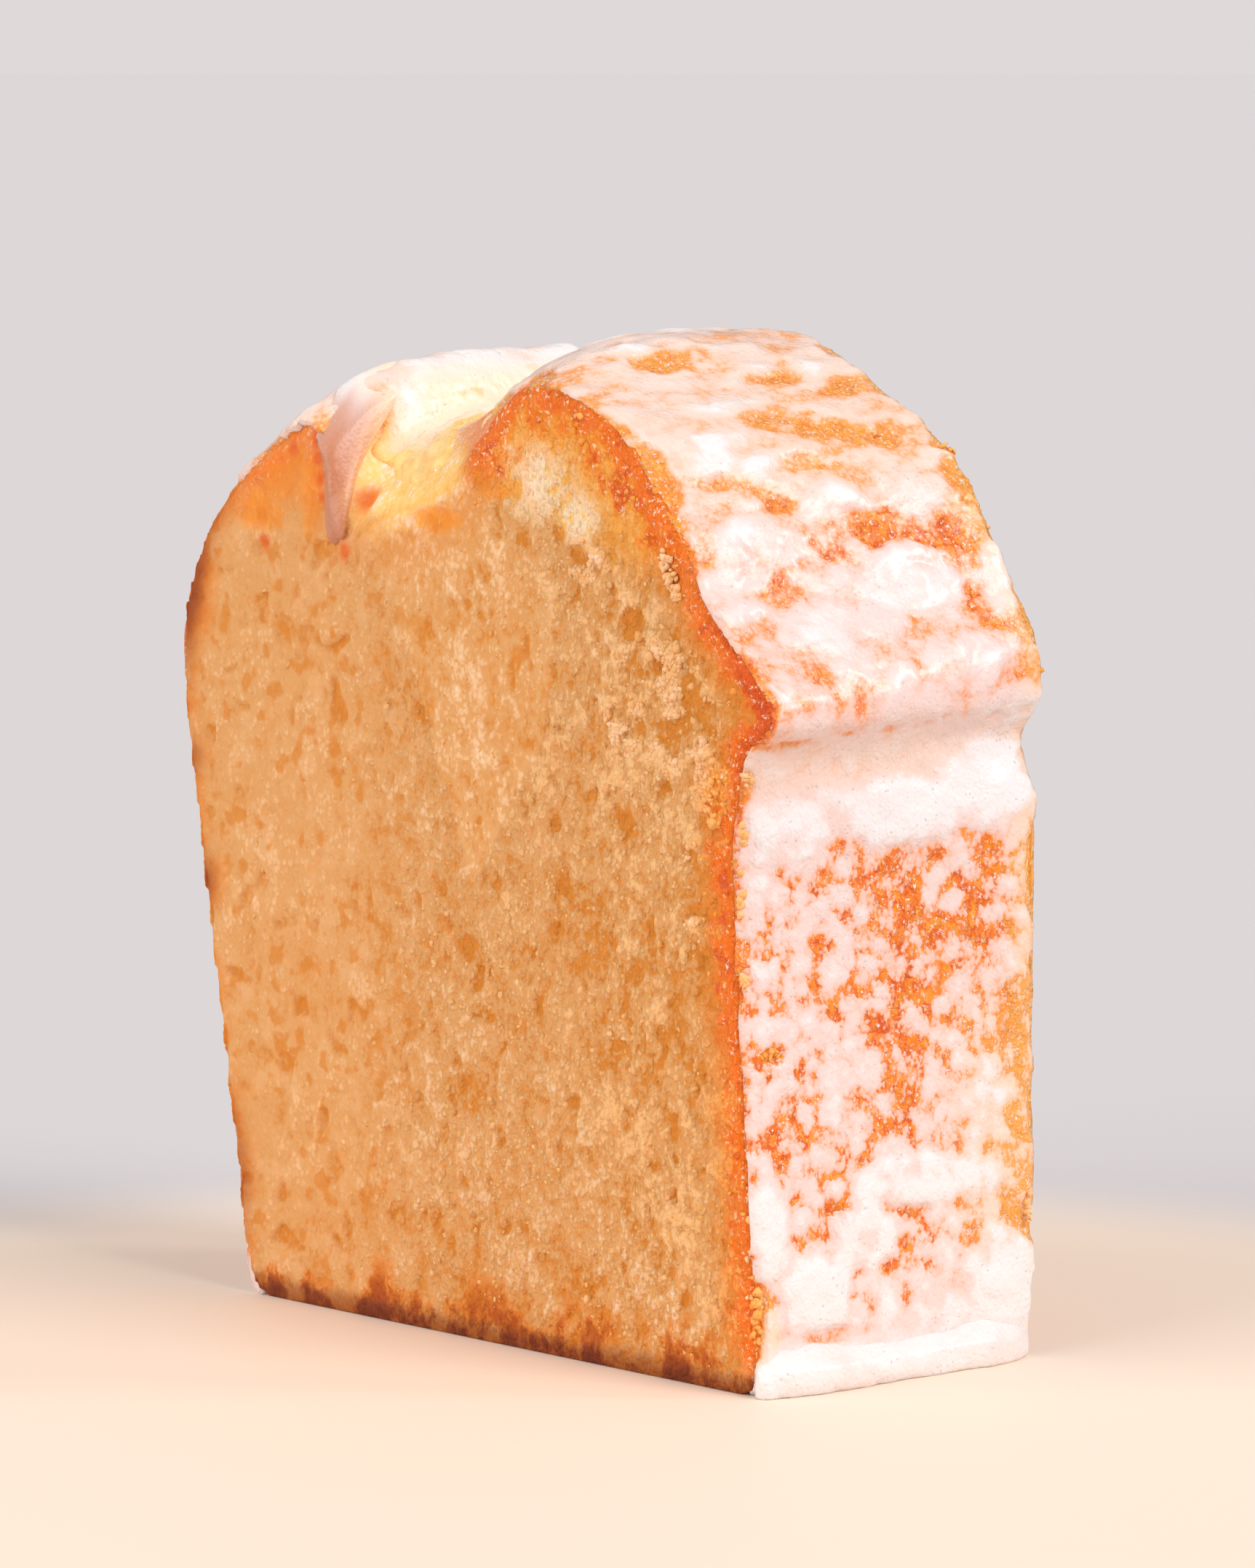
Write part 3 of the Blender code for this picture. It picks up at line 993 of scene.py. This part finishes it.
# The same on the dome: across, along the loaf, up, half length along the loaf, half width
# down the slope and extra thickness, all in mm.
DOME_PATCHES = [
    (15.2, -5, 105.6, 5.5, 3.4, -0.5),
    (20.7, 7.4, 103.4, 4, 1.6, -0.35),
    (26.9, 0.2, 99.6, 3.6, 1.5, -0.4),
    (30.1, 6, 98.2, 4.4, 1.9, -0.5),
    (23.9, 12.5, 102.2, 4, 1.3, -0.4),
    (32.2, 12, 97, 3.4, 1.2, -0.4),
    (32.5, -0.5, 95, 5, 1.2, -0.4),
    (34.5, -5.7, 91.5, 3, 1.8, -0.45),
    (32.1, -11.5, 93.1, 3.8, 1, -0.35),
    (38.2, 3.2, 88.5, 4.6, 2.6, -0.5),
    (40.8, 13.9, 87.2, 2.6, 2.2, -0.4),
    (38.4, 18, 93, 1.8, 2.6, -0.5),
    (46.1, 14, 78.9, 1.6, 3, -0.35),
    (39.3, -9, 83.4, 4, 1.4, -0.25),
    (24.6, -3, 100.5, 5, 1.6, 0.4),
    (28.5, -10.5, 97.3, 5, 1.8, 0.5),
    (29.8, 2.6, 96.6, 4.6, 1, 0.4),
    (36, -12, 88, 3, 2.2, 0.4),
    (37, 10.5, 92, 4, 2.4, 0.4),
    (44, -8, 78.4, 3.4, 2.8, 0.5),
    (42.6, 4, 83, 3.2, 3, 0.35),
    (43.4, 18, 84, 2, 3, 0.45),
]

# How fully the glaze covers each height of the slice, all in mm.
ZONE_HEIGHTS = (0, 4, 9, 17, 24, 34, 50, 56, 62, 67, 73, 86, 93)
ZONE_COVERS = (1.2, 0.65, 0.36, 0.36, 0.31, 0.28, 0.28, 0.33, 0.5, 0.42, 0.26, 0.24, 0.23)


def glaze_zones(points):
    """Return the slice's zones, and the noises that several of the glaze's fields share."""
    x, _, z = points.T
    top, wall = ramp(86, 94, z), ramp(64, 58, z)
    bend = sway(points, 3.5, SEED + 160)
    return SimpleNamespace(
        near=ramp(0, 25, x), top=top, wall=wall, slope=1 - top - wall, bend=bend,
        fine=layers(points + 0.5 * bend, 1.9, 3, SEED + 120),
        broad=layers(points, 7, 3, SEED + 130), crack=crack_field(points, 4))


def mottled_cover(points, at):
    """Return the glaze's thickness by height, mottled on the wall and drawn out on the dome."""
    spots, _ = granules(points + at.bend, 3.1, SEED + 100)
    flow, _ = granules(points + at.bend, (3.6, 8, 3.6), SEED + 105)
    drawn = layers(points + 0.7 * at.bend, (2.6, 5.6, 2.6), 3, SEED + 110)
    sheets = layers(points + 0.7 * at.bend, (4.6, 9, 4.6), 3, SEED + 115)
    cover = np.interp(points[:, 2], ZONE_HEIGHTS, ZONE_COVERS)
    cover += at.wall * (0.16 * (0.5 - spots) + 0.12 * at.fine + 0.16 * at.broad)
    cover += at.top * (0.05 + 0.2 * (0.5 - flow) + 0.16 * drawn + 0.3 * sheets)
    cover += at.slope * (0.1 * (0.5 - spots) + 0.1 * at.fine + 0.24 * sheets)
    white_spots, marks = granules(points + at.bend, (6, 10, 6), SEED + 170)
    blobs = ramp(0.46, 0.1, white_spots) * ramp(0.3, 0.6, marks)
    cover += (1 - at.wall) * (0.4 + 0.15 * at.top) * blobs
    for across, place, up, half_length, half_width, extra in DOME_PATCHES:
        away = points - (across, place, up)
        away = np.hypot(away[:, 1] / half_length, np.hypot(away[:, 0], away[:, 2]) / half_width)
        cover += 0.95 * extra * ramp(1.6, 0.2, away + 0.85 * at.fine + 0.9 * drawn)
    return cover


def wall_cover(cover, points, at):
    """Return the cover with the near wall's crease and its thicker and thinner patches."""
    _, y, z = points.T
    wander = 0.5 * waves(points, 5, SEED + 140) + 0.06 * (y - FRONT)
    crease = hump(z - wander, 67.7, 0.6)
    cover = cover - 0.3 * at.near * crease * ramp(-0.3, 0.3, at.fine)
    for place, up, half_width, half_height, extra in WALL_PATCHES:
        away = np.hypot((y - place) / half_width, (z - up) / half_height)
        full, frayed = (0.3, 0.1) if extra > 0.7 else (0.55, 0.22 if extra > -0.5 else 0.5)
        cover += at.near * extra * ramp(1.2, full, away + frayed * at.fine)
    thinned = ramp(-2, -6, y) * ramp(19, 16, z) * ramp(3.5, 5.5, z)
    return cover - 0.06 * at.near * thinned


def crack_cover(cover, points, at):
    """Return the cover with the crack's own: open crumb in front and thick icing behind."""
    x, y, _ = points.T
    start = 0.05 + 0.25 * ramp(-24, -8, x)
    inner = share_along(y) + 0.12 * at.broad
    inside = -0.5 + 0.4 * at.fine + 1.3 * ramp(start, start + 0.3, inner)
    inside += 0.6 * ramp(-4, 0, x)
    glow = np.linalg.norm((points - (-13, -13.5, 94.5)) / (9, 7, 5.5), axis=1)
    inside += 0.75 * ramp(1.5, 0.2, glow + 0.5 * at.fine)
    return cover * (1 - at.crack) + at.crack * inside


def worn_edges(points, at):
    """Return how fully the glaze is worn off along the edges of both cut faces."""
    x, y, z = points.T
    worn = 0.5 + 1.2 * waves(points, 3.5, SEED + 150) + 0.6 * at.fine
    worn += 2.4 * ramp(0, 0.6, waves(points, 5.5, SEED + 155)) * ramp(74, 82, z)
    worn += 4 * ramp(-38, -43, x) * ramp(92, 88, z)
    worn -= 2.5 * ramp(-33, -30, x) * ramp(-18, -22, x)
    worn += 4.5 * ramp(-4, 0, x) * ramp(14, 9, x) * ramp(10, 0, y)
    return ramp(worn + 0.7, worn - 0.3, np.minimum(y - FRONT, BACK - y))


def painted_glow_field(points, at):
    """Return where the glaze and the crust under it are painted yellow as glow."""
    _, y, z = points.T
    # Painted glow: along the back of the near wall, lit through from behind; on the dome's top,
    # where the light falls; warm painted light in the shade under the lip; and over the shade
    # at the near foot's front corner.
    return np.maximum.reduce([
        at.wall * ramp(3, 17, y) * ramp(48, 28, z) * ramp(8, 18, z),
        ramp(14, 19, y) * ramp(40, 55, z),
        at.wall * ramp(13.5, 17.5, y),
        0.55 * ramp(86, 96, z),
        0.5 * hump(z, 65, 3.5),
        at.near * ramp(1.1, 0.8, np.hypot((y + 19.2) / 3, (z - 7) / 5))])


def glaze_fields(points):
    """Return the glaze's thickness in mm, and by name how patchy and streaky it is and how
    yellow its painted glow makes it.

    Where the thickness is under zero the crust is bare.
    """
    x, y, z = points.T
    at = glaze_zones(points)
    cover = wall_cover(mottled_cover(points, at), points, at)
    cover = crack_cover(cover, points, at)
    ridge = hump(x, -24.5, 4) * ramp(92, 95, z)
    run_head = ramp(-21, -23.5, x) * ramp(-29, -27, x)
    run_head *= ramp(FRONT + 14, FRONT + 10, y)
    cover += 0.45 * ridge * (1 - run_head)
    cover -= 0.5 * worn_edges(points, at)
    under = hump(z, 62, 6)
    patchy = np.maximum(at.wall - 0.3 * under, 0.32) * ramp(2, 9, z)
    return np.clip(cover, -0.45, 1.3), {
        "patchy": patchy * (1 - 0.6 * at.crack),
        "streaky": 0.32 * (at.top + 0.5 * at.slope) * (1 - at.crack),
        "warm": painted_glow_field(points, at),
        "crack": at.crack * (1 - run_head),
        "veined": at.slope * (1 - at.crack)}


def glaze_skin(grid):
    """Return a closed skin over the crust, fine outside and plain inside, open at the cuts."""
    bm = even_mesh("cake_slice", grid)
    settle(bm, 2)
    bm.normal_update()
    inset = SKIN_INSET * MM
    gone = [face for face in bm.faces
            if abs(face.calc_center_median().y) > CAKE_HIGH.y - inset
            or face.calc_center_median().z < inset]
    bmesh.ops.delete(bm, geom=gone, context="FACES")
    bmesh.ops.delete(bm, geom=[v for v in bm.verts if not v.link_faces], context="VERTS")
    lows = {vert: vert.co - vert.normal * SKIN_DEPTH * MM for vert in bm.verts}
    skin = bmesh.ops.extrude_face_region(bm, geom=list(bm.faces))
    for vert, low in lows.items():
        vert.co = low
    outer = [item for item in skin["geom"] if isinstance(item, bmesh.types.BMFace)]
    halve_edges(bm, outer)
    bmesh.ops.recalc_face_normals(bm, faces=bm.faces)
    return bm


def build_coat(look, crumb_look):
    """Model the glaze as a skin that follows the crust and swells where it is thick."""
    bm = glaze_skin(look.grid)
    points, normals = places(bm)
    depth = np.array([crust[3] for crust in nearest_crust(points)]) / MM
    thick, marks = glaze_fields(points)
    film = look.film / MM * ramp(-0.02, 0.08, thick)
    crack = crack_field(points)
    under = crust_bumps(points) * (1 - crack) + crack * crack_lumps(points)
    x, y, z = points.T
    basin = ramp(-26, -24, x) * ramp(2, -2, x) * (ramp(92.5, 90.5, z) * ramp(78, 80, z))
    flank = ramp(9.8, 8, x) * ramp(-6, -4, x) * ramp(-14, -17, y) * ramp(89, 91, z)
    sunk = np.maximum(crack * ramp(0.04, -0.1, thick), 1.5 * np.maximum(basin, flank))
    raised = np.maximum(np.minimum(thick, 0.25 + 0.5 * thick), 0.3 * thick)
    lift = ramp(0.5, 0.1, depth) * (raised + film + under + 0.12 - 0.9 * sunk)
    placed = points + normals * np.maximum(lift, -0.8)[:, None]
    over = 0.4 * ramp(17.4, 18.6, y) * ramp(30, 38, x) * ramp(88, 80, z)
    placed[:, 1] = np.minimum(placed[:, 1] + over, BACK - SKIN_INSET + over)
    set_places(bm, placed)
    material = glaze_material("icing", look, crumb_look)
    return finish_piece("icing_coat", bm, material, {"thick": thick, **marks})


def ridge_wall(along, down):
    """Return x and z in mm on the crack's far wall: down is 1 at the crest, 3 at the bottom.

    along is 0 at the front cut face and 1 at the back one.
    """
    share = 1 - (1 - np.clip(along, 0, 1)) ** 4.5
    steps = np.arange(5)
    front_x, back_x = (-33.7, -26.9, -23.5, -20.7, -19.4), (-34.1, -26.9, -23.7, -21.1, -18)
    front_z, back_z = (94.8, 97.6, 94.2, 85.8, 83.4), (101.2, 104.6, 102.8, 99, 98)
    x = np.interp(down, steps, front_x) * (1 - share) + np.interp(down, steps, back_x) * share
    z = np.interp(down, steps, front_z) * (1 - share) + np.interp(down, steps, back_z) * share
    return x, z


def run_sides(down):
    """Return how far the run reaches past the crack's corner, over the cut face and inwards.

    Both are in mm from the corner: under zero on the cut face, over zero on the crack's wall.
    """
    steps = (0.5, 1, 1.5, 2, 2.3, 2.6, 3, 3.3, 3.55)
    left = (0.8, 0.5, 0, -0.8, -1.5, -2.4, -3.3, -3.6, -3.7)
    right = (16, 15.5, 14.5, 13, 10, 5, 2.8, 2, 0.9)
    return np.interp(down, steps, left), np.interp(down, steps, right)


def build_run(material):
    """Model the run of icing down the crack's corner, from its solid drawn out longer."""
    bm = even_mesh("icing_drip", RUN_GRID * MM)
    settle(bm, 1)
    points, _ = places(bm)
    solid = merged_copy("cake_slice")
    wall = BVHTree.FromBMesh(solid)
    solid.free()
    away = np.array([wall.find_nearest(Vector(point) * MM)[3] for point in points]) / MM
    share = (points[:, 2].max() - points[:, 2]) / np.ptp(points[:, 2])
    across = (points[:, 1] - points[:, 1].min()) / np.ptp(points[:, 1])
    lower = np.interp(across, [0, 0.2, 0.42, 0.6, 0.8, 1], [3.35, 3.55, 3.3, 3.45, 3.2, 2.9])
    down = 0.55 + share * (lower - 0.55)
    left, right = run_sides(down)
    past = left + across * (right - left) + 0.25 * layers(points, 2.2, 2, SEED + 230)
    y = FRONT + np.maximum(past, 0)
    along = share_along(y)
    x, z = ridge_wall(along, down)
    ahead_x, ahead_z = ridge_wall(along, down + 0.12)
    behind_x, behind_z = ridge_wall(along, down - 0.12)
    turn = np.stack([behind_z - ahead_z, np.zeros(len(x)), ahead_x - behind_x], axis=1)
    turn /= np.linalg.norm(turn, axis=1)[:, None]
    over = ramp(0.9, -0.9, past)[:, None]
    turn = turn * (1 - over) + np.array([0, -1, 0]) * over
    turn /= np.linalg.norm(turn, axis=1)[:, None]
    rise = (away - 0.7) * 0.65 + 0.15 * layers(points, 2.6, 2, SEED + 240)
    rise += 0.55 * ramp(2.6, 1.4, down) - 0.9 * ramp(0.12, 0, share)
    rise -= 0.4 * ramp(0.85, 1, share) + 0.4 * ramp(0.75, 1, across)
    rise -= 0.9 * ramp(0.55, 1, across) * ramp(2.5, 3, down)
    out = np.stack([x + np.minimum(past, 0), y, z], axis=1) + turn * rise[:, None]
    set_places(bm, out)
    settle(bm, 3)
    # The damp share grows down the run: partly syrup-soaked glaze, partly painted shade.
    wet = down - 0.8 * across * ramp(3, 2.2, down)
    damp = ramp(0.6, 2, wet + 0.5 * layers(points, 3, 2, SEED + 250))
    thick = 0.95 - 0.25 * share
    # Painted glow across the run's right side, fading towards its foot.
    warm = ramp(0.25, 0.8, across + 0.2 * layers(points, 2.2, 2, SEED + 260))
    warm *= ramp(3.3, 2.5, down)
    fields = {"thick": thick, "damp": damp, "warm": warm}
    return finish_piece("icing_run", bm, material, fields, ["icing_drip"])


def build_bead(name, node, material):
    """Model a thick bead of icing from its solid, swollen by a set amount so that it meets the
    crust.
    """
    bm = even_mesh(node, BEAD_GRID * MM)
    settle(bm, 1)
    points, normals = places(bm)
    lumps = 0.3 * layers(points, 4, 2, SEED + 200) + 0.12 * layers(points, 1.4, 2, SEED + 210)
    points += normals * (0.3 + lumps)[:, None]
    points[:, 1] *= 1.03
    points[:, 2] *= 1 + 0.3 * ramp(0, 16, points[:, 1])
    slant = 0.7 * np.maximum(points[:, 2] - 2.8, 0) + 0.2 * np.maximum(points[:, 1] - 12, 0)
    points[:, 0] -= np.sign(points[:, 0]) * slant
    set_places(bm, points)
    thick = 0.75 + 0.2 * layers(points, 3, 2, SEED + 220)
    return finish_piece(name, bm, material, {"thick": thick}, [node])


# Operators

class CAKE_OT_body(bpy.types.Operator):
    """Build the baked slice"""
    bl_idname = "cake.body"
    bl_label = "Baked Slice"

    def execute(self, context):
        build_body(context.scene.crumb_settings)
        return {"FINISHED"}


class CAKE_OT_grains(bpy.types.Operator):
    """Scatter crumbs over the cut faces"""
    bl_idname = "cake.grains"
    bl_label = "Crumb Grains"

    def execute(self, context):
        build_grains(context.scene.crumb_settings)
        return {"FINISHED"}


class CAKE_OT_coat(bpy.types.Operator):
    """Spread the glaze over the crust"""
    bl_idname = "cake.coat"
    bl_label = "Glaze Coat"

    def execute(self, context):
        build_coat(context.scene.icing_settings, context.scene.crumb_settings)
        return {"FINISHED"}


class CAKE_OT_lumps(bpy.types.Operator):
    """Build the icing at the foot and the run in the crack"""
    bl_idname = "cake.lumps"
    bl_label = "Thick Icing"

    def execute(self, context):
        look, crumb_look = context.scene.icing_settings, context.scene.crumb_settings
        plain = glaze_material("thick icing", look, crumb_look)
        damp = glaze_material("damp icing", look, crumb_look, damp=True)
        build_bead("icing_bead_near", "icing_foot_near", plain)
        build_bead("icing_bead_far", "icing_foot_far", plain)
        build_run(damp)
        return {"FINISHED"}


class CAKE_OT_stage(bpy.types.Operator):
    """Add the floor, the light and the camera"""
    bl_idname = "cake.stage"
    bl_label = "Stage"

    def execute(self, context):
        look = context.scene.stage_settings
        build_floor(look)
        build_lights(look)
        build_camera(look)
        context.scene.view_settings.view_transform = "Standard"
        return {"FINISHED"}


def build_floor(look):
    """A wide plain floor, warm by the slice and grey far off."""
    bm = bmesh.new()
    bmesh.ops.create_circle(bm, cap_ends=True, segments=96, radius=FLOOR_RADIUS)
    mesh = bpy.data.meshes.new("floor")
    bm.to_mesh(mesh)
    bm.free()
    floor = linked("floor", mesh)
    material, tree, shader = new_material(
        "floor", {"Roughness": 0.6, "Specular IOR Level": 0.2})
    source = shade(tree, "ShaderNodeTexCoord", {}, "Object")
    away = shade(tree, "ShaderNodeVectorMath", {0: source, 1: FLOOR_MIDDLE}, "Value",
                 operation="DISTANCE")
    wire(shader, {"Base Color": mix(away.ramp(*FLOOR_FADE), look.floor, look.wall)})
    mesh.materials.append(material)


def add_sun(name, towards, strength, softness, colour):
    """Add a light from far off in the direction of a point."""
    light = bpy.data.lights.new(name, "SUN")
    light.energy = strength
    light.angle = radians(softness)
    light.color = colour
    turn = Vector(towards).to_track_quat("Z", "Y").to_euler()
    linked(name, light).rotation_euler = turn


def build_lights(look):
    """A window beyond the iced side, a weak fill by the camera and an even sky."""
    add_sun("window", (1.0, 0.15, 0.9), look.key, 34.0, (1.0, 0.99, 0.975))
    add_sun("fill", (-0.25, -1.0, 0.55), look.fill, 60.0, (1.0, 0.97, 0.93))
    add_sun("glint", (0.55, 0.6, 0.6), look.glint, 12.0, (1.0, 1.0, 1.0))
    world = bpy.data.worlds.new("sky")
    bpy.context.scene.world = world
    world.use_nodes = True
    tree = world.node_tree
    sky = tree.nodes["Background"]
    wire(sky, {"Color": (0.97, 0.975, 1.0, 1.0), "Strength": look.sky})
    seen = shade(tree, "ShaderNodeBackground", {"Color": (*look.backdrop, 1.0)})
    straight = shade(tree, "ShaderNodeLightPath", {}, "Is Camera Ray")
    mixed = shade(tree, "ShaderNodeMixShader",
                  {0: straight, 1: Shade(tree, sky.outputs[0]), 2: seen})
    wire(tree.nodes["World Output"], {"Surface": mixed})


def build_camera(look):
    camera = bpy.data.cameras.new("camera")
    camera.lens = look.lens
    camera.clip_start = 0.01
    made = linked("camera", camera)
    made.location = look.camera_place
    made.rotation_euler = (radians(90.0) - look.camera_dip, 0.0, look.camera_turn)
    bpy.context.scene.camera = made


class CAKE_PT_panel(bpy.types.Panel):
    """Lists the pieces of the slice"""
    bl_idname = "CAKE_PT_panel"
    bl_label = "Iced Cake Slice"
    bl_space_type = "VIEW_3D"
    bl_region_type = "UI"
    bl_category = "Cake"

    def draw(self, context):
        for operator in OPERATORS:
            self.layout.operator(operator.bl_idname)
        for name in SETTINGS:
            settings = getattr(context.scene, name)
            box = self.layout.box()
            for key in settings.bl_rna.properties.keys():
                if key not in ("rna_type", "name"):
                    box.prop(settings, key)


OPERATORS = (CAKE_OT_body, CAKE_OT_grains, CAKE_OT_coat, CAKE_OT_lumps, CAKE_OT_stage)
SETTINGS = {"crumb_settings": CrumbSettings, "icing_settings": IcingSettings,
            "stage_settings": StageSettings}


def register():
    for cls in (*SETTINGS.values(), *OPERATORS, CAKE_PT_panel):
        bpy.utils.register_class(cls)
    for name, group in SETTINGS.items():
        setattr(bpy.types.Scene, name, bpy.props.PointerProperty(type=group))


def unregister():
    for name in SETTINGS:
        delattr(bpy.types.Scene, name)
    for cls in (CAKE_PT_panel, *reversed(OPERATORS), *reversed(SETTINGS.values())):
        bpy.utils.unregister_class(cls)


def main():
    register()
    for operator in (bpy.ops.cake.body, bpy.ops.cake.grains, bpy.ops.cake.coat,
                     bpy.ops.cake.lumps, bpy.ops.cake.stage):
        operator()


if __name__ == "__main__":
    main()
